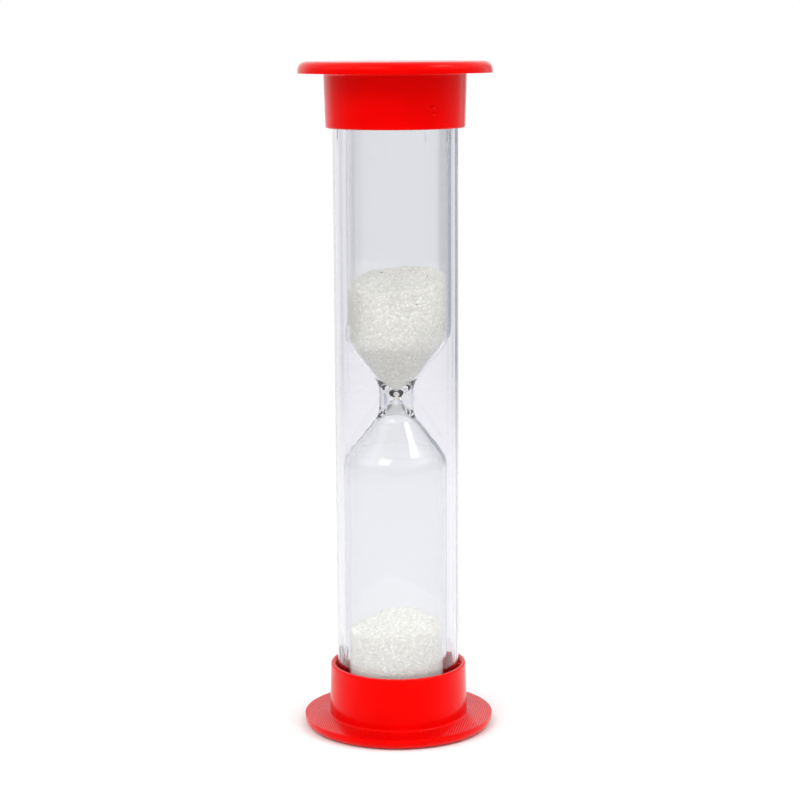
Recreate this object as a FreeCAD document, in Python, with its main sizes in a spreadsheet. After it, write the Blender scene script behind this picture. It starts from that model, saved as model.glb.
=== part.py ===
"""Small sand timer: two red flanged caps, a clear outer tube, a leaning glass vial and its sand.

Millimetres, +Z up. The origin is the centre of the bottom cap's resting face.
"""

import FreeCAD, Part
import Sketcher
import os

# ---------------------------------------------------------------- driving dimensions
SIZES = {
    # overall
    "total_height": 89.0,
    "flange_dia": 25.4,
    # caps: a thin flange carries a tapered collar, and fine ribs in its socket grip the tube
    "flange_thick": 1.5,
    "flange_round": 1.15,
    "cap_height": 8.55,
    "collar_root_dia": 18.66,
    "collar_mouth_dia": 18.24,
    "collar_fillet": 0.3,
    "mouth_round": 0.25,
    "socket_dia": 16.9,
    "lead_in": 0.2,
    "rib_count": 36,
    "rib_dia": 0.5,
    "rib_grip_gap": 0.02,
    "rib_setback": 0.45,
    # clear outer tube
    "tube_dia": 16.4,
    "tube_wall": 0.5,
    "tube_end_gap": 0.05,
    # foam discs between the vial's ends and the caps
    "cushion_dia": 14.8,
    "cushion_thick": 1.9,
    "cushion_round": 0.25,
    "cushion_gap": 0.1,
    # glass vial, pinched to a thick-walled neck, and leaning a little in the tube
    "vial_dia": 13.8,
    "vial_wall": 0.5,
    "vial_floor_wall": 0.6,
    "vial_floor_round": 2.2,
    "vial_lean": 0.7,
    "neck_height": 44.6,
    "neck_dia": 4.56,
    "neck_bore_dia": 1.1,
    "waist_half": 2.1,
    "cone_half": 7.85,
    "bore_half": 0.35,
    "cone_inner_half": 7.97,
    "shoulder_round": 4.0,
    "waist_round": 3.0,
    "bore_round": 1.0,
    # stopper in the vial's filling end
    "stopper_head": 0.7,
    "stopper_depth": 3.4,
    "stopper_taper": 0.15,
    # sand, which stops just short of the glass
    "sand_gap": 0.03,
    "upper_sand_level": 60.8,
    "upper_sand_slope": 9.4,
    "upper_sand_bearing": 58.0,
    "lower_sand_rim": 12.9,
    "lower_sand_peak": 16.2,
    "lower_sand_crown_dia": 3.0,
    "lower_sand_round": 4.0,
}

# lengths that several pieces share, worked out from the sizes above
TUBE_LENGTH = "total_height - 2 * flange_thick - 2 * tube_end_gap"
VIAL_BOTTOM = "flange_thick + cushion_thick + cushion_gap"
VIAL_RIM = f"total_height - ({VIAL_BOTTOM}) - stopper_head"
VIAL_FLOOR = f"{VIAL_BOTTOM} + vial_floor_wall"
VIAL_RADIUS = "vial_dia / 2"
VIAL_BORE = "(vial_dia / 2 - vial_wall)"
NECK_RADIUS = "neck_dia / 2"
NECK_BORE = "neck_bore_dia / 2"
SAND_RADIUS = f"({VIAL_BORE} - sand_gap)"
SAND_NECK_RADIUS = f"({NECK_BORE} - sand_gap)"
INNER_FLOOR_ROUND = "vial_floor_round - vial_wall"
INNER_SHOULDER_ROUND = "shoulder_round - vial_wall"

AXIS_Y = FreeCAD.Vector(0, 1, 0)
AXIS_Z = FreeCAD.Vector(0, 0, 1)
NEAR = 1e-4  # how closely an edge has to match the ring that is asked for

doc = FreeCAD.newDocument("sand_timer")
sheet = doc.addObject("Spreadsheet::Sheet", "sizes")
for row, (alias, number) in enumerate(SIZES.items(), start=1):
    sheet.set(f"A{row}", alias)
    sheet.set(f"B{row}", str(number))
    sheet.setAlias(f"B{row}", alias)
doc.recompute()


# ---------------------------------------------------------------- helpers
def bound(expression):
    """The expression with the name of each size turned into its cell in the sheet."""
    out, word = "", ""
    for letter in expression + " ":
        if letter.isalnum() or letter == "_":
            word += letter
            continue
        out += (f"sizes.{word}" if word in SIZES else word) + letter
        word = ""
    return out.strip()


def value(expression):
    """What an expression comes to with the sheet's present numbers."""
    return float(sheet.evalExpression(bound(expression)))


def new_body(label):
    body = doc.addObject("PartDesign::Body", label)
    body.Label = label
    return body


def new_sketch(body, name, role):
    """A sketch on one of the body's own origin planes."""
    sketch = body.newObject("Sketcher::SketchObject", name)
    origin_plane = next(f for f in body.Origin.OriginFeatures if f.Role == role)
    sketch.AttachmentSupport = [(origin_plane, "")]
    sketch.MapMode = "FlatFace"
    return sketch


def add_outline(sketch, corners):
    """A closed outline of straight lines through corners, each a pair of expressions.

    A corner whose expression is "0" lies on the sketch's own axis: the horizontal axis is
    geometry -1 and the vertical one -2.
    """
    points = [FreeCAD.Vector(value(x), value(y), 0) for x, y in corners]
    lines = []
    for start, end in zip(points, points[1:] + points[:1]):
        lines.append(sketch.addGeometry(Part.LineSegment(start, end), False))
    for line, following in zip(lines, lines[1:] + lines[:1]):
        sketch.addConstraint(Sketcher.Constraint("Coincident", line, 2, following, 1))
    for line, corner, point in zip(lines, corners, points):
        for kind, axis, expression, size in zip(("DistanceX", "DistanceY"), (-2, -1), corner, point):
            if expression == "0":
                sketch.addConstraint(Sketcher.Constraint("PointOnObject", line, 1, axis))
            else:
                held = sketch.addConstraint(Sketcher.Constraint(kind, -1, 1, line, 1, size))
                sketch.setExpression(f"Constraints[{held}]", bound(expression))


def add_circle(sketch, x, diameter):
    """A circle centred on the sketch's horizontal axis, x from the origin."""
    centre = FreeCAD.Vector(value(x), 0, 0)
    circle = sketch.addGeometry(Part.Circle(centre, AXIS_Z, value(diameter) / 2), False)
    sketch.addConstraint(Sketcher.Constraint("PointOnObject", circle, 3, -1))
    if x == "0":
        sketch.addConstraint(Sketcher.Constraint("PointOnObject", circle, 3, -2))
    else:
        held = sketch.addConstraint(Sketcher.Constraint("DistanceX", -1, 1, circle, 3, centre.x))
        sketch.setExpression(f"Constraints[{held}]", bound(x))
    sized = sketch.addConstraint(Sketcher.Constraint("Diameter", circle, value(diameter)))
    sketch.setExpression(f"Constraints[{sized}]", bound(diameter))


def turn(body, name, kind, corners):
    """A full turn about Z of an outline given as (radius, height) expressions."""
    sketch = new_sketch(body, name + "_outline", "XZ_Plane")
    add_outline(sketch, corners)
    turned = body.newObject(f"PartDesign::{kind}", name)
    turned.Profile = sketch
    turned.ReferenceAxis = (sketch, ["V_Axis"])
    turned.Angle = 360.0
    doc.recompute()
    return turned


def extrude(body, name, height, setup, base=None):
    """A pad along +Z of what setup draws, from base (an expression) above the origin plane."""
    sketch = new_sketch(body, name + "_outline", "XY_Plane")
    if base:
        sketch.setExpression("AttachmentOffset.Base.z", bound(base))
    setup(sketch)
    pad = body.newObject("PartDesign::Pad", name)
    pad.Profile = sketch
    pad.setExpression("Length", bound(height))
    doc.recompute()
    return pad


def ring_edges(feature, rings):
    """Names of the circular edges at these (radius, height) pairs of expressions."""
    wanted = [(value(radius), value(height)) for radius, height in rings]
    found = []
    for number, edge in enumerate(feature.Shape.Edges, start=1):
        if not isinstance(edge.Curve, Part.Circle):
            continue
        size, level = edge.Curve.Radius, edge.Curve.Center.z
        if any(abs(size - r) < NEAR and abs(level - z) < NEAR for r, z in wanted):
            found.append(f"Edge{number}")
    if len(found) != len(wanted):
        raise RuntimeError(f"{feature.Label}: {len(found)} of {len(wanted)} ring edges found")
    return found


def round_rings(body, name, feature, radius, rings):
    """Rounds the circular edges at these (radius, height) pairs."""
    rounding = body.newObject("PartDesign::Fillet", name)
    rounding.Base = (feature, ring_edges(feature, rings))
    rounding.setExpression("Radius", bound(radius))
    doc.recompute()
    return rounding


def lean_with_vial(body):
    """Tips a body by the vial's lean, towards +X at the top, about the middle of the neck."""
    body.Placement = FreeCAD.Placement(
        FreeCAD.Vector(), FreeCAD.Rotation(AXIS_Y, value("vial_lean"))
    )
    body.setExpression("Placement.Rotation.Angle", "sizes.vial_lean * 1deg")
    body.setExpression("Placement.Base.x", bound("-neck_height * sin(vial_lean)"))
    body.setExpression("Placement.Base.z", bound("neck_height * (1 - cos(vial_lean))"))


# ---------------------------------------------------------------- caps
def make_cap(label):
    """A moulded cap standing on its flange, socket upwards."""
    cap = new_body(label)
    socket_corner = "socket_dia / 2 + lead_in"
    shell = turn(
        cap,
        label + "_shell",
        "Revolution",
        [
            ("0", "0"),
            ("flange_dia / 2", "0"),
            ("flange_dia / 2", "flange_thick"),
            ("collar_root_dia / 2", "flange_thick"),
            ("collar_mouth_dia / 2", "cap_height"),
            (socket_corner, "cap_height"),
            ("socket_dia / 2", "cap_height - lead_in"),
            ("socket_dia / 2", "flange_thick"),
            ("0", "flange_thick"),
        ],
    )
    edge = round_rings(cap, label + "_edge", shell, "flange_round", [("flange_dia / 2", "0")])
    root = round_rings(
        cap, label + "_root", edge, "collar_fillet", [("collar_root_dia / 2", "flange_thick")]
    )
    round_rings(cap, label + "_mouth", root, "mouth_round", [("collar_mouth_dia / 2", "cap_height")])
    rib = extrude(
        cap,
        label + "_rib",
        "cap_height - flange_thick - rib_setback",
        lambda sketch: add_circle(sketch, "(tube_dia + rib_dia) / 2 + rib_grip_gap", "rib_dia"),
        base="flange_thick",
    )
    ribs = cap.newObject("PartDesign::PolarPattern", label + "_ribs")
    ribs.Originals = [rib]
    ribs.Axis = (rib.Profile[0], ["N_Axis"])
    ribs.Angle = 360.0
    ribs.setExpression("Occurrences", "sizes.rib_count")
    cap.Tip = ribs
    doc.recompute()
    return cap


bottom_cap = make_cap("bottom_cap")
top_cap = make_cap("top_cap")
top_cap.Placement = FreeCAD.Placement(
    FreeCAD.Vector(0, 0, SIZES["total_height"]), FreeCAD.Rotation(FreeCAD.Vector(1, 0, 0), 180)
)
top_cap.setExpression("Placement.Base.z", "sizes.total_height")


# ---------------------------------------------------------------- outer tube
def make_outer_tube():
    tube = new_body("outer_tube")

    def ring(sketch):
        add_circle(sketch, "0", "tube_dia")
        add_circle(sketch, "0", "tube_dia - 2 * tube_wall")

    extrude(tube, "outer_tube_wall", TUBE_LENGTH, ring, base="flange_thick + tube_end_gap")
    return tube


# ---------------------------------------------------------------- foam cushions
def make_cushion(label, level):
    cushion = new_body(label)
    disc = extrude(
        cushion,
        label + "_disc",
        "cushion_thick",
        lambda sketch: add_circle(sketch, "0", "cushion_dia"),
        base=level,
    )
    top = f"{level} + cushion_thick"
    round_rings(
        cushion,
        label + "_edge",
        disc,
        "cushion_round",
        [("cushion_dia / 2", level), ("cushion_dia / 2", top)],
    )
    return cushion


# ---------------------------------------------------------------- glass vial
def make_vial():
    """An hourglass of glass tube: closed flat at the bottom, open at the top for filling."""
    vial = new_body("glass_vial")
    outer = turn(
        vial,
        "vial_outside",
        "Revolution",
        [
            ("0", VIAL_BOTTOM),
            (VIAL_RADIUS, VIAL_BOTTOM),
            (VIAL_RADIUS, "neck_height - cone_half"),
            (NECK_RADIUS, "neck_height - waist_half"),
            (NECK_RADIUS, "neck_height + waist_half"),
            (VIAL_RADIUS, "neck_height + cone_half"),
            (VIAL_RADIUS, VIAL_RIM),
            ("0", VIAL_RIM),
        ],
    )
    shoulders = [(VIAL_RADIUS, f"neck_height {side} cone_half") for side in "-+"]
    waist = [(NECK_RADIUS, f"neck_height {side} waist_half") for side in "-+"]
    outer = round_rings(vial, "vial_shoulders", outer, "shoulder_round", shoulders)
    round_rings(vial, "vial_waist", outer, "waist_round", waist)
    inner = turn(
        vial,
        "vial_inside",
        "Groove",
        [
            ("0", VIAL_FLOOR),
            (VIAL_BORE, VIAL_FLOOR),
            (VIAL_BORE, "neck_height - cone_inner_half"),
            (NECK_BORE, "neck_height - bore_half"),
            (NECK_BORE, "neck_height + bore_half"),
            (VIAL_BORE, "neck_height + cone_inner_half"),
            (VIAL_BORE, VIAL_RIM),
            ("0", VIAL_RIM),
        ],
    )
    shoulders = [(VIAL_BORE, f"neck_height {side} cone_inner_half") for side in "-+"]
    bore_ends = [(NECK_BORE, f"neck_height {side} bore_half") for side in "-+"]
    inner = round_rings(vial, "vial_inner_shoulders", inner, INNER_SHOULDER_ROUND, shoulders)
    inner = round_rings(vial, "vial_bore_ends", inner, "bore_round", bore_ends)
    floor_corner = [(VIAL_BORE, VIAL_FLOOR)]
    inner = round_rings(vial, "vial_floor_corner", inner, INNER_FLOOR_ROUND, floor_corner)
    round_rings(vial, "vial_foot", inner, "vial_floor_round", [(VIAL_RADIUS, VIAL_BOTTOM)])
    lean_with_vial(vial)
    return vial


def make_stopper():
    """A soft plug pressed into the vial's filling end, with a thin head over the rim."""
    stopper = new_body("vial_stopper")
    turn(
        stopper,
        "stopper_plug",
        "Revolution",
        [
            ("0", f"{VIAL_RIM} - stopper_depth"),
            (f"{SAND_RADIUS} - stopper_taper", f"{VIAL_RIM} - stopper_depth"),
            (SAND_RADIUS, VIAL_RIM),
            (VIAL_RADIUS, VIAL_RIM),
            (VIAL_RADIUS, f"{VIAL_RIM} + stopper_head"),
            ("0", f"{VIAL_RIM} + stopper_head"),
        ],
    )
    lean_with_vial(stopper)
    return stopper


# ---------------------------------------------------------------- sand
def make_upper_sand():
    """Sand that fills the upper cone from the neck, under a sloping surface."""
    sand = new_body("upper_sand")
    sand_top = f"{VIAL_RIM} - stopper_depth - vial_wall"
    column = turn(
        sand,
        "upper_sand_column",
        "Revolution",
        [
            ("0", "neck_height"),
            (SAND_NECK_RADIUS, "neck_height"),
            (SAND_NECK_RADIUS, "neck_height + bore_half"),
            (SAND_RADIUS, "neck_height + cone_inner_half"),
            (SAND_RADIUS, sand_top),
            ("0", sand_top),
        ],
    )
    column = round_rings(
        sand,
        "upper_sand_shoulder",
        column,
        INNER_SHOULDER_ROUND,
        [(SAND_RADIUS, "neck_height + cone_inner_half")],
    )
    round_rings(
        sand,
        "upper_sand_throat",
        column,
        "bore_round",
        [(SAND_NECK_RADIUS, "neck_height + bore_half")],
    )
    # the cut above the surface: a wedge whose lower side climbs along the sketch's X axis
    cut_sketch = new_sketch(sand, "upper_sand_surface_outline", "XZ_Plane")
    cut_sketch.AttachmentOffset = FreeCAD.Placement(
        FreeCAD.Vector(), FreeCAD.Rotation(AXIS_Y, value("upper_sand_bearing"))
    )
    cut_sketch.setExpression(
        "AttachmentOffset.Rotation.Angle", "sizes.upper_sand_bearing * 1deg"
    )
    rise = "vial_dia * tan(upper_sand_slope)"
    add_outline(
        cut_sketch,
        [
            ("-vial_dia", f"upper_sand_level - {rise}"),
            ("vial_dia", f"upper_sand_level + {rise}"),
            ("vial_dia", VIAL_RIM),
            ("-vial_dia", VIAL_RIM),
        ],
    )
    cut = sand.newObject("PartDesign::Pocket", "upper_sand_surface")
    cut.Profile = cut_sketch
    cut.Type = "ThroughAll"
    cut.Midplane = True
    doc.recompute()
    lean_with_vial(sand)
    return sand


def make_lower_sand():
    """The heap that has run through: a low cone with a rounded top, on the vial's floor."""
    sand = new_body("lower_sand")
    floor = f"{VIAL_FLOOR} + sand_gap"
    crown = "lower_sand_crown_dia / 2"
    heap = turn(
        sand,
        "lower_sand_heap",
        "Revolution",
        [
            ("0", floor),
            (SAND_RADIUS, floor),
            (SAND_RADIUS, "lower_sand_rim"),
            (crown, "lower_sand_peak"),
            ("0", "lower_sand_peak"),
        ],
    )
    heap = round_rings(sand, "lower_sand_foot", heap, INNER_FLOOR_ROUND, [(SAND_RADIUS, floor)])
    round_rings(sand, "lower_sand_crown", heap, "lower_sand_round", [(crown, "lower_sand_peak")])
    lean_with_vial(sand)
    return sand


SUB_PARTS = [
    bottom_cap,
    top_cap,
    make_outer_tube(),
    make_cushion("bottom_cushion", "flange_thick"),
    make_cushion("top_cushion", "total_height - flange_thick - cushion_thick"),
    make_vial(),
    make_stopper(),
    make_upper_sand(),
    make_lower_sand(),
]

# ---------------------------------------------------------------- check and export
doc.recompute()
for item in doc.Objects:
    if "Invalid" in item.State or "Error" in item.State:
        raise RuntimeError(f"{item.Label} failed: {item.State}")
for sub_part in SUB_PARTS:
    if sub_part.Shape.isNull() or not sub_part.Shape.isValid() or not sub_part.Shape.Solids:
        raise RuntimeError(f"{sub_part.Label} has no valid solid")

os.makedirs("parts", exist_ok=True)
for sub_part in SUB_PARTS:
    sub_part.Shape.exportStep(os.path.join("parts", sub_part.Label + ".step"))
    box = sub_part.Shape.BoundBox
    print(
        f"{sub_part.Label:15s} {sub_part.Shape.Volume:9.2f} mm3"
        f"  x {box.XMin:7.2f} {box.XMax:7.2f}  z {box.ZMin:6.2f} {box.ZMax:6.2f}"
    )
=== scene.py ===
"""Looks of the small sand timer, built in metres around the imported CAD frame."""

import math
import random

import bpy
import bmesh
from mathutils import Euler, Matrix, Vector, noise


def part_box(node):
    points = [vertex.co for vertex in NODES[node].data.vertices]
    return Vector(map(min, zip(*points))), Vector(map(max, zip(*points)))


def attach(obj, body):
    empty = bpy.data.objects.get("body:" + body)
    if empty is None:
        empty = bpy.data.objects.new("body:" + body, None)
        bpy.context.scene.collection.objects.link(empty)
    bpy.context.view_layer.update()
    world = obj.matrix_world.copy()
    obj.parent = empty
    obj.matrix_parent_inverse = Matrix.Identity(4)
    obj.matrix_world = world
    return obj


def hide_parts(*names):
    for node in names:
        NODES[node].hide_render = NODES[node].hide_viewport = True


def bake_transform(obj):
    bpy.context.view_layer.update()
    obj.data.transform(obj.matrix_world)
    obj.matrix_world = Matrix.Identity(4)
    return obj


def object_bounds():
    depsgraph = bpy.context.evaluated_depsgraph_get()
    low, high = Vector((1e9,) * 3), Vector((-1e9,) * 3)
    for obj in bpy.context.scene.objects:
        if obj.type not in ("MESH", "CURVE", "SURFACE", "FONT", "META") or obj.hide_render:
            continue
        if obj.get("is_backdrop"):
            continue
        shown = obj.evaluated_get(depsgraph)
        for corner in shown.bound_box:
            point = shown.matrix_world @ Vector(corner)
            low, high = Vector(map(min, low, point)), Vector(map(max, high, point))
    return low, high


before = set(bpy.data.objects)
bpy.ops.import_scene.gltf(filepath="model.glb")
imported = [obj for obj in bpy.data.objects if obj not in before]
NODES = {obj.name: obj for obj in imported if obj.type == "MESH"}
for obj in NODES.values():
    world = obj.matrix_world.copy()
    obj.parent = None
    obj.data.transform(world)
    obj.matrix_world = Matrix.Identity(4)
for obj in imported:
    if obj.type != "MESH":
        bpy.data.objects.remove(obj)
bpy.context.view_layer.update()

MM = 0.001

# ------------------------------------------------------------------ sizes, in millimetres
# radius of the tiny rings on the axis, how near points are for close_poles to merge them,
# how thin a face is for it to drop, and the fewest parts of a rounded corner
ON_AXIS = 1e-3
MERGE = 0.01
SLIVER = 1e-4
ARC_PARTS = 4

# caps: the spacing and slant of the fine tool lines on their flat faces
HATCH = 0.31
HATCH_SLANT = -0.15
# the mould's marks on the top collar: bearing from the front, height and radius of each,
# and how they are flattened (outwards, across and up)
PIPS = ((31.0, 83.2, 0.30), (31.8, 82.3, 0.24))
PIP_SHAPE = (0.7, 1.0, 0.8)
# the collar's height and radius at its mouth, and its taper
COLLAR_MOUTH = 80.45
COLLAR_RADIUS = 9.1
COLLAR_TAPER = 0.035

# foam discs: how far their faces are crowned, their edges pulled in and their cells sunk
FOAM_ROUND = 0.35
FOAM_CROWN = 0.12
FOAM_WAIST = 0.15
# the pull dies away from the edge as this power of the distance from the axis
FOAM_EDGE_POWER = 8
FOAM_CELL = 0.35
FOAM_PORE = 0.08
FOAM_STEP = 0.15
FOAM_SEGMENTS = 144

# tube: its wall, and the faint lengthwise ripples that drawing leaves in it
TUBE_WALL = 0.5
TUBE_EDGE = 0.08
TUBE_STEP = 4.0
TUBE_SEGMENTS = 288
TUBE_RIPPLE = 0.012
TUBE_RIPPLES = 14
TUBE_RIPPLE_COUNTS = (5, 44)
# it is rubbed towards its ends: distances from its middle where that starts and is complete
TUBE_MIDDLE = 44.5
RUBBED = (30.0, 34.0)

# vial: the same outline as the CAD node
VIAL_RADIUS = 6.9
VIAL_WALL = 0.5
VIAL_FLOOR_WALL = 0.6
VIAL_FLOOR_ROUND = 2.2
VIAL_RIM_ROUND = 0.2
VIAL_END_GAP = 0.06
NECK_Z = 44.6
NECK_RADIUS = 2.28
NECK_BORE = 0.55
WAIST_HALF = 2.1
CONE_HALF = 7.85
BORE_HALF = 0.35
CONE_INNER_HALF = 7.97
SHOULDER_ROUND = 4.0
WAIST_ROUND = 3.0
BORE_ROUND = 1.0
VIAL_STEP = 0.2
VIAL_SEGMENTS = 160
# a blown tube's centre line drifts: its place at the floor, then (from, over, by) for each bend
VIAL_DRIFT = -0.27
VIAL_BENDS = ((35.5, 5.5, 0.20), (50.0, 6.0, 0.40), (74.0, 8.0, 0.14))
# its radius wavers near the neck by up to this share, after a noise with this scale, rise and shift
VIAL_WAVER = 0.035
WAVER_SCALE = 1.3
WAVER_RISE = 0.12
WAVER_SHIFT = Vector((7.3, 1.1, 4.2))

# sand: its gap to the glass, and the segments and rings of its loose surface
SAND_GAP = 0.07
SAND_SEGMENTS = 360
SAND_RINGS = 64
# loose grains: their size, how far they stand up, and how far the surface settles to make up for it
GRAIN = 0.2
GRAIN_RELIEF = 0.10
GRAIN_SETTLE = 0.04
GRAIN_SLICE = 3.1
GRAIN_STEEPNESS = 1.4
# bright and dark grains: their size, the reach of their corners as a share of it, how far inside
# the sand's wall they lie, and how far above its loose surface
GLINT_SIZE = 0.12
SPECK_SIZE = 0.2
CORNER_REACH = (0.35, 0.6)
SUNK = 0.03
PROUD = 0.04
# upper sand: its level in the middle, its slopes, its dome's height and the square of its width,
# and (scale, slice, height) of its unevenness
UPPER_LEVEL = 60.6
UPPER_SLOPE_X = 0.095
UPPER_SLOPE_Y = 0.155
UPPER_DOME = 0.25
UPPER_DOME_SPREAD = 41.0
UPPER_ROLL = (0.33, 1.7, 0.28)
UPPER_WALL_PAST_CONE = 1.3
# heap: its peak, its slope on the left and how much steeper it is on the right
HEAP_PEAK = 16.15
HEAP_PEAK_X = 0.95
HEAP_SLOPE = 0.49
HEAP_STEEPER = 0.13
HEAP_STEEPER_OVER = 4.0
HEAP_CROWN = 1.8
HEAP_ROLL = (0.5, 8.1, 0.16)
# a clump of sand at the left wall: its place, height and the square of its width
CLUMP_X, CLUMP_Y = -5.7, -2.2
CLUMP_HEIGHT = 0.55
CLUMP_SPREAD = 0.9
# how far the heap lies above its node's underside, and the radius that its wall is built from
HEAP_GAP = 0.05
HEAP_WALL_FROM = 3.0
# the highest that a wall grain is looked for above the level, and its least depth under the surface
SEARCH_ABOVE = 1.5
LEAST_DEPTH = 0.1
# steps in radians round the glass to find a surface's lowest point, and a depth below it
# that make_sand works out but does not use
EDGE_STEP = 0.02
BLEND_BELOW = 0.2
# the bright and dark grains of each body of sand: name, size, how far the loose ones keep from
# the glass, how many lie against the glass and how many on the surface, and three seeds
UPPER_GRAINS = (
    ("glints", GLINT_SIZE, 0.2, 900, 260, (21, 22, 23)),
    ("specks", SPECK_SIZE, 0.5, 9, 5, (28, 29, 30)),
)
LOWER_GRAINS = (
    ("glints", GLINT_SIZE, 0.2, 700, 260, (31, 32, 33)),
    ("specks", SPECK_SIZE, 0.5, 4, 3, (38, 39, 40)),
)

# ------------------------------------------------------------------ colours
# a table of tones holds (position, colour) stops along a noise or a random tone
RED_DEEP = (0.65, 0.0003, 0.0003)
RED_BRIGHT = (0.71, 0.0006, 0.0006)
# painted shade: the darker red that is painted along the caps' tool lines
RED_PAINTED_SHADE_ON_LINES = (0.30, 0.0003, 0.0003)
SAND_TONES = (
    (0.0, (0.49, 0.48, 0.43)),
    (0.25, (0.55, 0.54, 0.495)),
    (0.75, (0.585, 0.575, 0.535)),
    (1.0, (0.74, 0.73, 0.69)),
)
GLINT_TONES = ((0.3, (0.86, 0.88, 0.82)), (0.7, (0.97, 0.97, 0.94)))
SPECK_TONES = ((0.3, (0.012, 0.011, 0.01)), (0.7, (0.07, 0.065, 0.055)))
FOAM_TONES = ((0.3, (0.70, 0.70, 0.68)), (0.7, (0.86, 0.86, 0.84)))
SILICONE_TONES = ((0.3, (0.74, 0.73, 0.70)), (0.7, (0.80, 0.79, 0.76)))
PAPER_TONES = ((0.3, (0.77, 0.77, 0.77)), (0.7, (0.79, 0.79, 0.79)))

# ------------------------------------------------------------------ studio, in metres and degrees
FLOOR_RADIUS = 0.35
# the floor fades out between these shares of its radius
FLOOR_FADE = (0.45, 0.95)
# brightness and tint of the walls by bearing: 0 is behind the timer, and the right is positive
STUDIO_WALLS = (
    (-180, (0.50, 0.50, 0.50)),
    (-122, (0.50, 0.50, 0.50)),
    (-60, (0.50, 0.50, 0.50)),
    (-46, (0.95, 0.95, 0.95)),
    (-12, (0.95, 0.95, 0.955)),
    (-6, (1.06, 1.06, 1.06)),
    (9, (1.06, 1.06, 1.06)),
    (12, (0.80, 0.81, 0.83)),
    (22, (0.78, 0.79, 0.82)),
    (27, (0.40, 0.43, 0.49)),
    (35, (0.40, 0.43, 0.49)),
    (41, (0.92, 0.92, 0.93)),
    (60, (0.50, 0.50, 0.50)),
    (122, (0.50, 0.50, 0.50)),
    (180, (0.50, 0.50, 0.50)),
)
# how far up the walls give way to the ceiling and the ceiling to its even top, each as the sine
# of the angle, and the top's brightness
WALL_TOP = (0.25, 0.45)
ZENITH = (0.75, 0.92)
ZENITH_LIGHT = 1.0
# the ceiling's brightness by bearing, as a share of CEILING_LIGHT
CEILING_LIGHT = 2.45
CEILING = (
    (-180, (0.50, 0.50, 0.50)),
    (-150, (0.62, 0.62, 0.62)),
    (-100, (0.95, 0.945, 0.94)),
    (-75, (0.32, 0.32, 0.32)),
    (75, (0.32, 0.32, 0.32)),
    (100, (0.95, 0.945, 0.94)),
    (150, (0.62, 0.62, 0.62)),
    (180, (0.50, 0.50, 0.50)),
)

# lamps: name, place, size, power and outline; all of them face the timer's middle
LAMPS = (
    ("key", (-0.45, -0.40, 0.55), (0.45, 0.45), 0.15, "RECTANGLE"),
    ("fill", (0.02, -0.14, 0.014), (0.12, 0.02), 0.018, "RECTANGLE"),
    ("front_box_left", (-0.207, -0.353, 0.478), (0.26, 0.26), 0.9, "RECTANGLE"),
    ("overhead_box_right", (0.305, -0.065, 0.50), (0.22, 0.13), 0.6, "ELLIPSE"),
)
# the low lamp's beam is kept narrow, so that it doesn't light the paper
FILL_SPREAD = 50

# camera: its place and nearest distance in metres, its lens and sensor in millimetres,
# and its turns in radians
CAMERA_PLACE = (0.0, -0.27981, 0.09158)
CAMERA_CLIP = 0.01
CAMERA_LENS = 95.92
CAMERA_SENSOR = 36.0
TIP_DOWN = 0.1669
TURN_RIGHT = 0.0015
ROLL_LEFT = 0.0053


# ------------------------------------------------------------------ geometry helpers
def millimetres(vector):
    return [component / MM for component in vector]


def smooth_step(value):
    value = min(1.0, max(0.0, value))
    return value * value * (3 - 2 * value)


def rounded_path(corners, step):
    """Points along straight runs through (radius, height, rounding) corners, each rounded by an arc."""
    points = []
    for index, (radius, height, rounding) in enumerate(corners):
        here = Vector((radius, height))
        if not rounding or index in (0, len(corners) - 1):
            points.append(here)
            continue
        before = Vector(corners[index - 1][:2]) - here
        after = Vector(corners[index + 1][:2]) - here
        half = before.angle(after) / 2
        reach = rounding / math.tan(half)
        centre = here + (before.normalized() + after.normalized()).normalized() * (
            rounding / math.sin(half)
        )
        start = here + before.normalized() * reach - centre
        sweep = start.angle_signed(here + after.normalized() * reach - centre)
        count = max(ARC_PARTS, round(abs(sweep) * rounding / step))
        for part in range(count + 1):
            turned = start.copy()
            turned.rotate(Matrix.Rotation(-sweep * part / count, 2))
            points.append(centre + turned)
    filled = [points[0]]
    for start, end in zip(points, points[1:]):
        parts = max(1, round((end - start).length / step))
        filled += [start.lerp(end, part / parts) for part in range(1, parts + 1)]
    return filled


def make_object(name, mesh):
    piece = bpy.data.objects.new(name, mesh)
    bpy.context.scene.collection.objects.link(piece)
    return piece


def make_smooth(name, vertices, faces):
    """A smooth-shaded object, from vertices in millimetres."""
    mesh = bpy.data.meshes.new(name)
    mesh.from_pydata([Vector(v) * MM for v in vertices], [], faces)
    mesh.shade_smooth()
    return make_object(name, mesh)


def band(here, there, segments):
    """The faces between two rings of vertices, which start at these two indices."""
    faces = []
    for turn in range(segments):
        beside = (turn + 1) % segments
        faces.append((here + turn, here + beside, there + beside, there + turn))
    return faces


def lathe(name, loop, segments, place, closed=True):
    """A surface of revolution. loop holds (radius, height) points, and place puts each one in space."""
    vertices, faces = [], []
    for radius, height in loop:
        for turn in range(segments):
            vertices.append(place(radius, height, 2 * math.pi * turn / segments))
    for ring in range(len(loop) if closed else len(loop) - 1):
        faces += band(ring * segments, (ring + 1) % len(loop) * segments, segments)
    return make_smooth(name, vertices, faces)


def off_axis(loop):
    """The loop with its two ends just off the axis, where lathe makes tiny rings of them."""
    loop[0] = Vector((ON_AXIS, loop[0].y))
    loop[-1] = Vector((ON_AXIS, loop[-1].y))
    return loop


def close_poles(piece):
    """Merges the tiny rings on the axis into single points and turns the faces outwards."""
    work = bmesh.new()
    work.from_mesh(piece.data)
    bmesh.ops.remove_doubles(work, verts=work.verts, dist=MERGE * MM)
    bmesh.ops.dissolve_degenerate(work, dist=SLIVER * MM, edges=work.edges)
    bmesh.ops.recalc_face_normals(work, faces=work.faces)
    work.to_mesh(piece.data)
    work.free()
    piece.data.shade_smooth()


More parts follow.
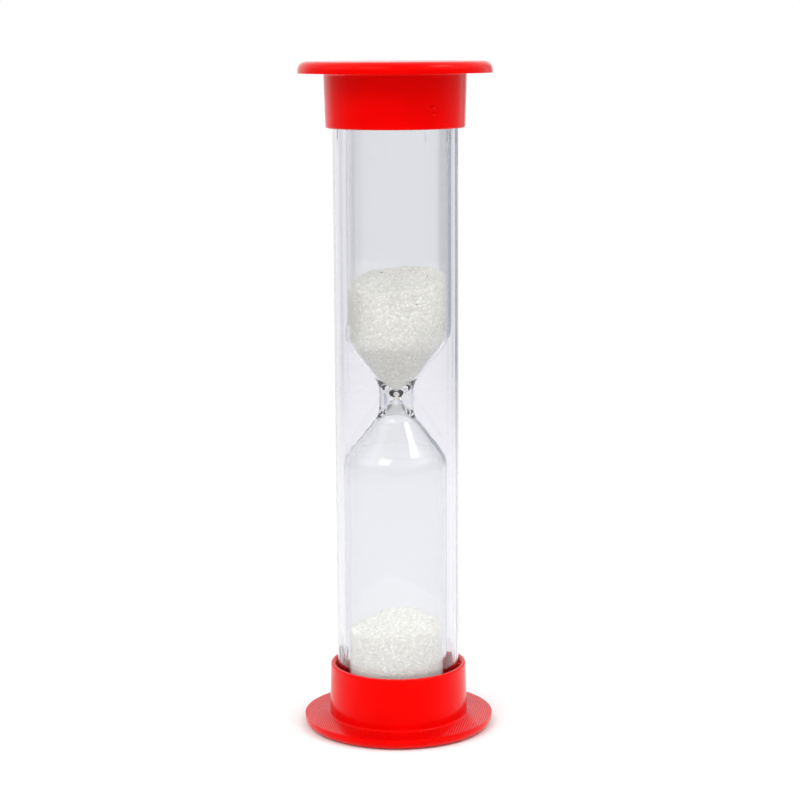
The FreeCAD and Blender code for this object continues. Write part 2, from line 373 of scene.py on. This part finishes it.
def face_outwards(piece):
    """Turns every face's normal to the outside of the closed mesh."""
    work = bmesh.new()
    work.from_mesh(piece.data)
    bmesh.ops.recalc_face_normals(work, faces=work.faces)
    work.to_mesh(piece.data)
    work.free()


# ------------------------------------------------------------------ materials
class Nodes:
    """A node tree, with short calls to add and join its nodes."""

    def __init__(self, tree):
        self.tree = tree

    def add(self, kind, links=None, **values):
        """A node with these attributes or inputs set (by name), and these inputs linked."""
        node = self.tree.nodes.new(kind)
        for name, value in values.items():
            if hasattr(node, name):
                setattr(node, name, value)
            else:
                node.inputs[name.replace("_", " ")].default_value = value
        for name, source in (links or {}).items():
            self.tree.links.new(source, node.inputs[name])
        return node

    def spread(self, source, low, high, start=0.0, end=1.0):
        """source's range from start to end, turned into low to high."""
        node = self.add("ShaderNodeMapRange", {"Value": source})
        for name, value in zip(("From Min", "From Max", "To Min", "To Max"), (start, end, low, high)):
            node.inputs[name].default_value = value
        return node.outputs["Result"]

    def maths(self, operation, first, second=0.0):
        node = self.add("ShaderNodeMath", operation=operation)
        for index, value in enumerate((first, second)):
            if isinstance(value, (int, float)):
                node.inputs[index].default_value = value
            else:
                self.tree.links.new(value, node.inputs[index])
        return node.outputs[0]

    def axes(self, vector):
        """The X, Y and Z of a vector, as three outputs."""
        return self.add("ShaderNodeSeparateXYZ", {"Vector": vector}).outputs

    def mix(self, share, first, second):
        """A colour between two others, each a colour output or (r, g, b)."""
        node = self.add("ShaderNodeMix", data_type="RGBA")
        self.tree.links.new(share, node.inputs["Factor"])
        for socket, colour in zip((node.inputs[6], node.inputs[7]), (first, second)):
            if isinstance(colour, tuple):
                socket.default_value = (*colour, 1.0)
            else:
                self.tree.links.new(colour, socket)
        return node.outputs[2]

    def ramp(self, source, *stops):
        """Colours at positions along source: each stop is (position, (r, g, b))."""
        node = self.add("ShaderNodeValToRGB", {"Fac": source})
        elements = node.color_ramp.elements
        elements.remove(elements[1])
        elements[0].position = stops[0][0]
        for position, _ in stops[1:]:
            elements.new(position)
        for element, (_, colour) in zip(elements, stops):
            element.color = (*colour, 1.0)
        return node.outputs["Color"]


class Shader(Nodes):
    """A Principled material."""

    def __init__(self, name, **settings):
        self.material = bpy.data.materials.new(name)
        self.material.use_nodes = True
        super().__init__(self.material.node_tree)
        self.principled = self.tree.nodes["Principled BSDF"]
        for socket, value in settings.items():
            self.principled.inputs[socket.replace("_", " ")].default_value = value
        coordinates = self.add("ShaderNodeTexCoord")
        self.place = coordinates.outputs["Object"]
        self.facing = coordinates.outputs["Normal"]

    def noise(self, scale, detail=3.0):
        links = {"Vector": self.place}
        return self.add("ShaderNodeTexNoise", links, Scale=scale, Detail=detail).outputs["Fac"]

    def bump(self, height, distance, strength=1.0, after=None):
        links = {"Height": height}
        if after:
            links["Normal"] = after
        node = self.add("ShaderNodeBump", links, Strength=strength, Distance=distance)
        return node.outputs["Normal"]

    def set(self, name, source):
        self.tree.links.new(source, self.principled.inputs[name])


def red_plastic():
    """Glossy red moulding: slight orange peel, fine tool lines on its flat faces with painted shade
    along them, and scuffs.
    """
    shader = Shader(
        "red_plastic", Specular_IOR_Level=0.3, Specular_Tint=(1.0, 0.12, 0.08, 1.0), IOR=1.46
    )
    patches = shader.noise(scale=180.0, detail=4.0)
    red = shader.ramp(patches, (0.3, RED_DEEP), (0.7, RED_BRIGHT))
    scuffs = shader.noise(scale=1500.0, detail=6.0)
    shader.set("Roughness", shader.spread(scuffs, low=0.10, high=0.24, start=0.3, end=0.7))
    across, along, _ = shader.axes(shader.place)
    diagonal = shader.maths("ADD", across, shader.maths("MULTIPLY", along, HATCH_SLANT))
    lines = shader.maths("SINE", shader.maths("MULTIPLY", diagonal, 2 * math.pi / (HATCH * MM)))
    upright = shader.maths("ABSOLUTE", shader.axes(shader.facing)["Z"])
    flat = shader.spread(upright, low=0.0, high=1.0, start=0.8, end=0.98)
    dimples = shader.noise(scale=2600.0, detail=2.0)
    peel = shader.bump(dimples, distance=0.012 * MM, strength=0.5)
    cut = shader.maths("MULTIPLY", lines, flat)
    # painted shade: the red is darkened along the tool lines, which the bump below also raises
    shader.set("Base Color", shader.mix(shader.spread(cut, low=0.0, high=0.35), red, RED_PAINTED_SHADE_ON_LINES))
    shader.set("Normal", shader.bump(cut, distance=0.03 * MM, after=peel))
    return shader.material


def clear_plastic():
    """The tube: clear, a little grey, with hairline scratches."""
    shader = Shader(
        "clear_plastic",
        Base_Color=(0.913, 0.912, 0.94, 1.0),
        Transmission_Weight=1.0,
        Roughness=0.0,
        IOR=1.5,
    )
    _, _, height = shader.axes(shader.place)
    from_middle = shader.maths("ABSOLUTE", shader.maths("SUBTRACT", height, TUBE_MIDDLE * MM))
    rubbed = shader.spread(from_middle, 0.0, 1.0, start=RUBBED[0] * MM, end=RUBBED[1] * MM)
    scratches = None
    for angle, seed in ((0.5, 3.0), (-0.8, 11.0)):
        turned = shader.add(
            "ShaderNodeMapping", {"Vector": shader.place}, Rotation=(angle, 0.3, angle),
            Location=(seed, 0.0, 0.0), Scale=(3000.0, 3000.0, 220.0),
        )
        cells = shader.add(
            "ShaderNodeTexVoronoi", {"Vector": turned.outputs["Vector"]},
            feature="DISTANCE_TO_EDGE", Scale=0.12,
        )
        line = shader.spread(cells.outputs["Distance"], low=1.0, high=0.0, start=0.0, end=0.04)
        blotches = shader.noise(scale=230.0 + seed, detail=2.0)
        kept = shader.spread(blotches, low=0.0, high=1.0, start=0.62, end=0.7)
        line = shader.maths("MULTIPLY", shader.maths("MULTIPLY", line, kept), rubbed)
        scratches = line if scratches is None else shader.maths("ADD", scratches, line)
    shader.set("Normal", shader.bump(scratches, distance=0.05 * MM))
    return shader.material


def vial_glass():
    """Thin blown soda glass, faintly green, with a slow waver in its surface."""
    shader = Shader(
        "vial_glass",
        Base_Color=(0.985, 0.993, 0.988, 1.0),
        Transmission_Weight=1.0,
        Roughness=0.0,
        IOR=1.5,
    )
    waver = shader.noise(scale=260.0, detail=2.0)
    shader.set("Normal", shader.bump(waver, distance=0.02 * MM, strength=0.25))
    return shader.material


def sand_material():
    """Fine pale sand: each grain has its own tone and gloss."""
    shader = Shader(
        "pale_sand", Roughness=0.6, IOR=1.5, Subsurface_Weight=0.7, Subsurface_Scale=0.9 * MM
    )
    shader.principled.inputs["Subsurface Radius"].default_value = (1.0, 0.95, 0.85)
    grains = shader.add(
        "ShaderNodeTexVoronoi", {"Vector": shader.place}, Scale=1.0 / (GRAIN * MM), Randomness=1.0
    )
    tone = shader.add("ShaderNodeSeparateColor", {"Color": grains.outputs["Color"]})
    shader.set("Base Color", shader.ramp(tone.outputs["Red"], *SAND_TONES))
    shader.set("Roughness", shader.spread(tone.outputs["Green"], low=0.25, high=0.8))
    rounded = shader.spread(grains.outputs["Distance"], low=1.0, high=0.0, start=0.0, end=0.8)
    shader.set("Normal", shader.bump(rounded, distance=0.05 * MM, strength=0.7))
    return shader.material


def glint_material():
    """Bright faceted quartz grains among the sand."""
    shader = Shader("quartz_glint", Roughness=0.2, Metallic=0.8)
    shader.set("Base Color", shader.ramp(shader.noise(scale=900.0), *GLINT_TONES))
    return shader.material


def speck_material():
    """The odd dark grain."""
    shader = Shader("dark_speck", Roughness=0.5)
    shader.set("Base Color", shader.ramp(shader.noise(scale=3000.0), *SPECK_TONES))
    return shader.material


def soft_white(name, tones, scale, depth):
    """A pale matte moulding or foam, with pores of this scale that are depth millimetres deep."""
    shader = Shader(name, Roughness=0.8)
    pores = shader.noise(scale, detail=5.0)
    shader.set("Base Color", shader.ramp(pores, *tones))
    shader.set("Normal", shader.bump(pores, distance=depth * MM, strength=0.6))
    return shader.material


def pass_light(piece):
    """Lets the lamps' light through a clear wall, as real glass does, where Cycles would shade it."""
    piece.visible_shadow = False


def give(piece, material):
    piece.data.materials.clear()
    piece.data.materials.append(material)


# ------------------------------------------------------------------ caps
def make_moulding_pips(material):
    """Two tiny round marks that the mould leaves on the top cap's collar."""
    work = bmesh.new()
    for bearing, height, size in PIPS:
        angle = math.radians(bearing - 90)
        reach = COLLAR_RADIUS + (height - COLLAR_MOUTH) * COLLAR_TAPER
        place = Vector((reach * math.cos(angle), reach * math.sin(angle), height)) * MM
        stretch = Matrix.Diagonal((*PIP_SHAPE, 1.0))
        turn = Matrix.Rotation(angle, 4, "Z")
        bmesh.ops.create_icosphere(
            work, subdivisions=3, radius=size * MM, matrix=Matrix.Translation(place) @ turn @ stretch
        )
    mesh = bpy.data.meshes.new("top_cap_pips")
    work.to_mesh(mesh)
    work.free()
    mesh.shade_smooth()
    pips = make_object("top_cap_pips", mesh)
    give(pips, material)
    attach(pips, "timer")


# ------------------------------------------------------------------ foam discs
def make_foam_disc(node, material):
    """A punched disc of foam: a little crowned, pulled in at its waist, with open cells."""
    low, high = (millimetres(corner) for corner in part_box(node))
    radius = high[0]
    middle, half = (low[2] + high[2]) / 2, (high[2] - low[2]) / 2

    def place(reach, height, angle):
        share = (height - middle) / half
        outwards = reach / radius
        here = Vector((reach * math.cos(angle), reach * math.sin(angle), height))
        pore = FOAM_PORE * max(0.0, noise.noise(here / FOAM_CELL))
        height -= share * (FOAM_CROWN * outwards**2 + pore)
        reach -= (1 - abs(share)) * (FOAM_WAIST + pore) * outwards**FOAM_EDGE_POWER
        return reach * math.cos(angle), reach * math.sin(angle), height

    corners = [
        (0.0, low[2], 0),
        (radius, low[2], FOAM_ROUND),
        (radius, high[2], FOAM_ROUND),
        (0.0, high[2], 0),
    ]
    loop = off_axis(rounded_path(corners, FOAM_STEP))
    disc = lathe(node + "_foam", loop, FOAM_SEGMENTS, place, closed=False)
    close_poles(disc)
    give(disc, material)
    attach(disc, "timer")
    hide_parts(node)


# ------------------------------------------------------------------ outer tube
def make_tube(material):
    """The clear tube. Its bore has faint lengthwise ripples, and its outside is true."""
    low, high = (millimetres(corner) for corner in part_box("outer_tube"))
    outer = high[0]
    inner = outer - TUBE_WALL
    corners = [
        ((inner + outer) / 2, low[2], 0),
        (outer, low[2], TUBE_EDGE),
        (outer, high[2], TUBE_EDGE),
        (inner, high[2], TUBE_EDGE),
        (inner, low[2], TUBE_EDGE),
        ((inner + outer) / 2, low[2], 0),
    ]
    draw = random.Random(5)
    waves = []
    for _ in range(TUBE_RIPPLES):
        waves.append((draw.randint(*TUBE_RIPPLE_COUNTS), draw.uniform(0, 2 * math.pi)))

    def place(radius, height, angle):
        if radius < (inner + outer) / 2:
            ripple = sum(math.sin(count * angle + phase) for count, phase in waves) / len(waves)
            radius += TUBE_RIPPLE * ripple
        return radius * math.cos(angle), radius * math.sin(angle), height

    loop = rounded_path(corners, TUBE_STEP)[:-1]
    tube = lathe("outer_tube_clear", loop, TUBE_SEGMENTS, place)
    face_outwards(tube)
    give(tube, material)
    pass_light(tube)
    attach(tube, "timer")
    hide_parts("outer_tube")


# ------------------------------------------------------------------ glass vial
def vial_axis(height):
    """How far the blown vial's centre line is from the timer's, towards +X."""
    drift = VIAL_DRIFT
    for start, over, shift in VIAL_BENDS:
        drift += shift * smooth_step((height - start) / over)
    return drift


def vial_place(radius, height, angle):
    """Where a point of the ideal vial is in the blown one."""
    cone = math.exp(-(((height - NECK_Z) / CONE_HALF) ** 4))
    around = Vector((math.cos(angle), math.sin(angle), height * WAVER_RISE))
    waver = VIAL_WAVER * cone * noise.noise(around * WAVER_SCALE + WAVER_SHIFT)
    radius *= 1 + waver
    return vial_axis(height) + radius * math.cos(angle), radius * math.sin(angle), height


def vial_inner_corners(floor, rim, gap=0.0):
    """The vial's inside, from the floor up, as (radius, height, rounding), taken in by gap."""
    bulb = VIAL_RADIUS - VIAL_WALL - gap
    bore = NECK_BORE - gap
    shoulder = SHOULDER_ROUND - VIAL_WALL
    return [
        (0.0, floor, 0),
        (bulb, floor, VIAL_FLOOR_ROUND - VIAL_WALL),
        (bulb, NECK_Z - CONE_INNER_HALF, shoulder),
        (bore, NECK_Z - BORE_HALF, BORE_ROUND),
        (bore, NECK_Z + BORE_HALF, BORE_ROUND),
        (bulb, NECK_Z + CONE_INNER_HALF, shoulder),
        (bulb, rim, 0),
    ]


def make_vial(material):
    """The blown vial: closed at the floor, waisted in the middle and open at the rim."""
    low, high = (millimetres(corner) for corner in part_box("glass_vial"))
    floor, rim = low[2] + VIAL_END_GAP, high[2] - VIAL_END_GAP
    outside = [
        (0.0, floor, 0),
        (VIAL_RADIUS, floor, VIAL_FLOOR_ROUND),
        (VIAL_RADIUS, NECK_Z - CONE_HALF, SHOULDER_ROUND),
        (NECK_RADIUS, NECK_Z - WAIST_HALF, WAIST_ROUND),
        (NECK_RADIUS, NECK_Z + WAIST_HALF, WAIST_ROUND),
        (VIAL_RADIUS, NECK_Z + CONE_HALF, SHOULDER_ROUND),
        (VIAL_RADIUS, rim, VIAL_RIM_ROUND),
        (VIAL_RADIUS - VIAL_WALL / 2, rim, 0),
    ]
    inside = vial_inner_corners(floor + VIAL_FLOOR_WALL, rim)
    inside[-1] = (VIAL_RADIUS - VIAL_WALL, rim, VIAL_RIM_ROUND)
    inside.append((VIAL_RADIUS - VIAL_WALL / 2, rim, 0))
    loop = rounded_path(outside, VIAL_STEP) + rounded_path(inside, VIAL_STEP)[::-1][1:]
    vial = lathe("glass_vial_blown", off_axis(loop), VIAL_SEGMENTS, vial_place, closed=False)
    close_poles(vial)
    give(vial, material)
    pass_light(vial)
    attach(vial, "timer")
    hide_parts("glass_vial")


# ------------------------------------------------------------------ sand
def grain_height(point):
    """Height of the grains that stand up from a loose sand surface, from 0 to about 1."""
    nearest = noise.voronoi(point / GRAIN)[0][0]
    return max(0.0, 1.0 - nearest * GRAIN_STEEPNESS)


def roll(x, y, scale, cut, height):
    """A slow unevenness in a surface: noise of this scale, on the slice at cut, times height."""
    return noise.noise(Vector((x * scale, y * scale, cut))) * height


def upper_surface(x, y):
    """Height of the upper sand: an uneven slope, higher at the back and right."""
    dome = UPPER_DOME * (1 - (x * x + y * y) / UPPER_DOME_SPREAD)
    return UPPER_LEVEL + UPPER_SLOPE_X * x + UPPER_SLOPE_Y * y + roll(x, y, *UPPER_ROLL) + dome


def lower_surface(x, y):
    """Height of the heap: a rounded cone, steeper to the right, with a clump at the left wall."""
    distance = math.hypot(x - HEAP_PEAK_X, y)
    steep = HEAP_SLOPE + HEAP_STEEPER * smooth_step((x - HEAP_PEAK_X) / HEAP_STEEPER_OVER)
    fall = steep * (math.hypot(distance, HEAP_CROWN) - HEAP_CROWN)
    from_clump = (x - CLUMP_X) ** 2 + (y - CLUMP_Y) ** 2
    clump = CLUMP_HEIGHT * math.exp(-from_clump / CLUMP_SPREAD)
    return HEAP_PEAK - fall + clump + roll(x, y, *HEAP_ROLL)


def lowest_edge(surface, radius):
    """The lowest height of a sand surface where it meets the glass."""
    angles = [step * EDGE_STEP for step in range(math.ceil(2 * math.pi / EDGE_STEP))]
    return min(surface(radius * math.cos(angle), radius * math.sin(angle)) for angle in angles)


def sand_body(name, wall, surface, material):
    """A body of sand: its wall against the glass up to the last wall point, then its loose surface.

    Above that point the wall is one row of long faces, up to the loose surface.
    """
    vertices, faces = [], []
    for ring_radius, height in wall:
        for turn in range(SAND_SEGMENTS):
            vertices.append(vial_place(ring_radius, height, 2 * math.pi * turn / SAND_SEGMENTS))
    radius, level = wall[-1]
    for ring in range(SAND_RINGS):
        share = 1 - ring / SAND_RINGS
        for turn in range(SAND_SEGMENTS):
            angle = 2 * math.pi * turn / SAND_SEGMENTS
            x, y, _ = vial_place(radius * share, level, angle)
            height = surface(x, y)
            if ring:
                grains = grain_height(Vector((x, y, GRAIN_SLICE)))
                height += GRAIN_RELIEF * grains - GRAIN_SETTLE
            vertices.append((x, y, height))
    rings = len(wall) + SAND_RINGS
    for ring in range(rings - 1):
        faces += band(ring * SAND_SEGMENTS, (ring + 1) * SAND_SEGMENTS, SAND_SEGMENTS)
    first, last = range(SAND_SEGMENTS), (rings - 1) * SAND_SEGMENTS
    faces.append(tuple(reversed(first)))
    x, y, _ = vial_place(0.0, level, 0.0)
    vertices.append((x, y, surface(x, y)))
    for turn in range(SAND_SEGMENTS):
        faces.append((last + turn, last + (turn + 1) % SAND_SEGMENTS, len(vertices) - 1))
    piece = make_smooth(name, vertices, faces)
    give(piece, material)
    return piece


def scatter(name, spots, size, seed, material):
    """Small faceted grains, each an uneven octahedron, at these spots (millimetres)."""
    draw = random.Random(seed)
    vertices, faces = [], []
    ends = [Vector(v) for v in ((1, 0, 0), (-1, 0, 0), (0, 1, 0), (0, -1, 0), (0, 0, 1), (0, 0, -1))]
    sides = [(4, 0, 2), (4, 2, 1), (4, 1, 3), (4, 3, 0), (5, 2, 0), (5, 1, 2), (5, 3, 1), (5, 0, 3)]
    for spot in spots:
        turned = Euler([draw.uniform(0, 2 * math.pi) for _ in range(3)]).to_matrix()
        first = len(vertices)
        for end in ends:
            reach = size * draw.uniform(*CORNER_REACH)
            vertices.append((Vector(spot) + turned @ end * reach) * MM)
        faces += [tuple(first + corner for corner in side) for side in sides]
    mesh = bpy.data.meshes.new(name)
    mesh.from_pydata(vertices, [], faces)
    piece = make_object(name, mesh)
    give(piece, material)
    return piece


def wall_spots(wall, surface, top, count, seed):
    """Random places on the sand's wall, from its lowest wall point up to the surface near top."""
    draw = random.Random(seed)
    radii = [point[0] for point in wall]
    spots = []
    while len(spots) < count:
        height = draw.uniform(wall[0][1], top + SEARCH_ABOVE)
        angle = draw.uniform(0, 2 * math.pi)
        below = [index for index, point in enumerate(wall) if point[1] <= height]
        radius = radii[below[-1]]
        if draw.random() > radius / max(radii):
            continue
        x, y, _ = vial_place(radius - SUNK, height, angle)
        if height < surface(x, y) - LEAST_DEPTH:
            spots.append((x, y, height))
    return spots


def surface_spots(radius, surface, count, seed):
    """Random places on a loose sand surface."""
    draw = random.Random(seed)
    spots = []
    for _ in range(count):
        reach, angle = radius * math.sqrt(draw.random()), draw.uniform(0, 2 * math.pi)
        x, y, _ = vial_place(reach, surface(0, 0), angle)
        spots.append((x, y, surface(x, y) + PROUD))
    return spots


def blend_with_level(piece, low):
    """Bakes the piece's transform into its mesh. Its argument low is not used."""
    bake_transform(piece)


def make_sand(name, wall, surface, top, grains, materials):
    """A body of sand with its bright and dark grains, set on and under its surface."""
    sand, *grain_materials = materials
    radius, wall_top = wall[-1]
    body = sand_body(name + "_body", wall, surface, sand)
    pieces = [body]
    for (kind, size, inset, at_wall, loose, seeds), material in zip(grains, grain_materials):
        spots = wall_spots(wall, surface, top, at_wall, seeds[0])
        spots += surface_spots(radius - inset, surface, loose, seeds[1])
        pieces.append(scatter(name + "_" + kind, spots, size, seeds[2], material))
    full = lowest_edge(surface, radius) - BLEND_BELOW
    for piece in pieces:
        blend_with_level(piece, wall_top)
    return body


def make_upper_sand(materials):
    """The sand in the upper bulb and its neck, under an uneven slope."""
    bulb = VIAL_RADIUS - VIAL_WALL - SAND_GAP
    inside = vial_inner_corners(0.0, UPPER_LEVEL, SAND_GAP)
    from_bore = inside[4:]
    path = rounded_path(from_bore, VIAL_STEP)
    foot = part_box("upper_sand")[0].z / MM
    wall_top = NECK_Z + CONE_INNER_HALF + UPPER_WALL_PAST_CONE
    wall = [(NECK_BORE - SAND_GAP, foot)]
    wall += [tuple(point) for point in path if foot < point.y < wall_top]
    wall.append((bulb, wall_top))
    body = make_sand("upper_sand", wall, upper_surface, UPPER_LEVEL, UPPER_GRAINS, materials)
    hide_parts("upper_sand")


def make_lower_sand(materials):
    """The heap of sand in the lower bulb."""
    bulb = VIAL_RADIUS - VIAL_WALL - SAND_GAP
    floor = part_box("lower_sand")[0].z / MM + HEAP_GAP
    middle, corner, *_ = vial_inner_corners(floor, NECK_Z, SAND_GAP)
    wall_top = floor + VIAL_FLOOR_ROUND
    past_top = (bulb, wall_top + 1, 0)
    path = rounded_path([middle, corner, past_top], VIAL_STEP)
    wall = [tuple(point) for point in path if point.x > HEAP_WALL_FROM and point.y < wall_top]
    wall.append((bulb, wall_top))
    body = make_sand("lower_sand", wall, lower_surface, HEAP_PEAK, LOWER_GRAINS, materials)
    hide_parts("lower_sand")


# ------------------------------------------------------------------ stage, lights and camera
def make_floor():
    """A disc of white paper that fades into the studio's own white away from the timer."""
    mesh = bpy.data.meshes.new("floor")
    work = bmesh.new()
    bmesh.ops.create_circle(work, cap_ends=True, segments=96, radius=FLOOR_RADIUS)
    work.to_mesh(mesh)
    work.free()
    floor = make_object("floor", mesh)
    shader = Shader("floor_paper", Roughness=0.9, Specular_IOR_Level=0.0)
    shader.set("Base Color", shader.ramp(shader.noise(scale=900.0), *PAPER_TONES))
    distance = shader.add("ShaderNodeVectorMath", {0: shader.place}, operation="LENGTH")
    start, end = (FLOOR_RADIUS * share for share in FLOOR_FADE)
    faded = shader.spread(distance.outputs["Value"], 0.0, 1.0, start, end)
    clear = shader.add("ShaderNodeBsdfTransparent")
    mix = shader.add(
        "ShaderNodeMixShader", {0: faded, 1: shader.principled.outputs[0], 2: clear.outputs[0]}
    )
    shader.tree.links.new(mix.outputs[0], shader.tree.nodes["Material Output"].inputs["Surface"])
    give(floor, shader.material)
    floor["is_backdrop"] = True


def make_world():
    """The studio that lights the timer: white behind, grey in front, and a ceiling bright at its sides.

    The camera itself sees plain white.
    """
    world = bpy.data.worlds.new("studio")
    bpy.context.scene.world = world
    world.use_nodes = True
    world.node_tree.nodes.clear()
    studio = Nodes(world.node_tree)
    across, along, up = studio.axes(studio.add("ShaderNodeTexCoord").outputs["Generated"])
    bearing = studio.spread(studio.maths("ARCTAN2", across, along), 0.0, 1.0, -math.pi, math.pi)
    walls, ceiling = (
        studio.ramp(bearing, *((0.5 + degrees / 360, colour) for degrees, colour in ring))
        for ring in (STUDIO_WALLS, CEILING)
    )
    ceiling = studio.maths("MULTIPLY", ceiling, CEILING_LIGHT)
    above = studio.mix(studio.spread(up, 0.0, 1.0, *ZENITH), ceiling, (ZENITH_LIGHT,) * 3)
    room = studio.mix(studio.spread(up, 0.0, 1.0, *WALL_TOP), walls, above)
    lit = studio.add("ShaderNodeBackground", {"Color": room}, Strength=1.0)
    seen = studio.add("ShaderNodeBackground", Color=(1.0, 1.0, 1.0, 1.0), Strength=1.0)
    path = studio.add("ShaderNodeLightPath").outputs["Is Camera Ray"]
    mix = studio.add("ShaderNodeMixShader", {0: path, 1: lit.outputs[0], 2: seen.outputs[0]})
    studio.add("ShaderNodeOutputWorld", {"Surface": mix.outputs[0]})


def make_light(name, position, target, size, power, shape):
    data = bpy.data.lights.new(name, "AREA")
    data.shape = shape
    data.size, data.size_y = size
    data.energy = power
    lamp = bpy.data.objects.new(name, data)
    lamp.location = position
    aim = Vector(target) - Vector(position)
    lamp.rotation_euler = aim.to_track_quat("-Z", "Y").to_euler()
    bpy.context.scene.collection.objects.link(lamp)
    return lamp


def hide_reflection(lamp):
    """Keeps a lamp from showing in the glass and on the glossy caps."""
    lamp.visible_glossy = False
    lamp.visible_transmission = False


def make_lights():
    middle = (0, 0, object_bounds()[1].z / 2)
    lamps = {}
    for name, position, size, power, shape in LAMPS:
        lamps[name] = make_light(name, position, middle, size, power, shape)
    hide_reflection(lamps["fill"])
    lamps["fill"].data.spread = math.radians(FILL_SPREAD)


def make_camera():
    """The view of the timer from just above its top face, a little tipped down."""
    data = bpy.data.cameras.new("camera")
    data.sensor_width = CAMERA_SENSOR
    data.lens = CAMERA_LENS
    camera = bpy.data.objects.new("camera", data)
    camera.location = CAMERA_PLACE
    camera.rotation_euler = (math.pi / 2 - TIP_DOWN, 0.0, -TURN_RIGHT)
    camera.rotation_euler.rotate_axis("Z", -ROLL_LEFT)
    data.clip_start = CAMERA_CLIP
    bpy.context.scene.collection.objects.link(camera)
    bpy.context.scene.camera = camera


def build():
    red = red_plastic()
    for node in ("bottom_cap", "top_cap"):
        give(NODES[node], red)
    make_moulding_pips(red)
    foam = soft_white("white_foam", FOAM_TONES, scale=4200.0, depth=0.05)
    for node in ("bottom_cushion", "top_cushion"):
        make_foam_disc(node, foam)
    silicone = soft_white("silicone", SILICONE_TONES, scale=900.0, depth=0.01)
    give(NODES["vial_stopper"], silicone)
    make_tube(clear_plastic())
    make_vial(vial_glass())
    grains = (sand_material(), glint_material(), speck_material())
    make_upper_sand(grains)
    make_lower_sand(grains)
    make_floor()
    make_world()
    make_lights()
    make_camera()
    bpy.context.scene.view_settings.view_transform = "Standard"


build()
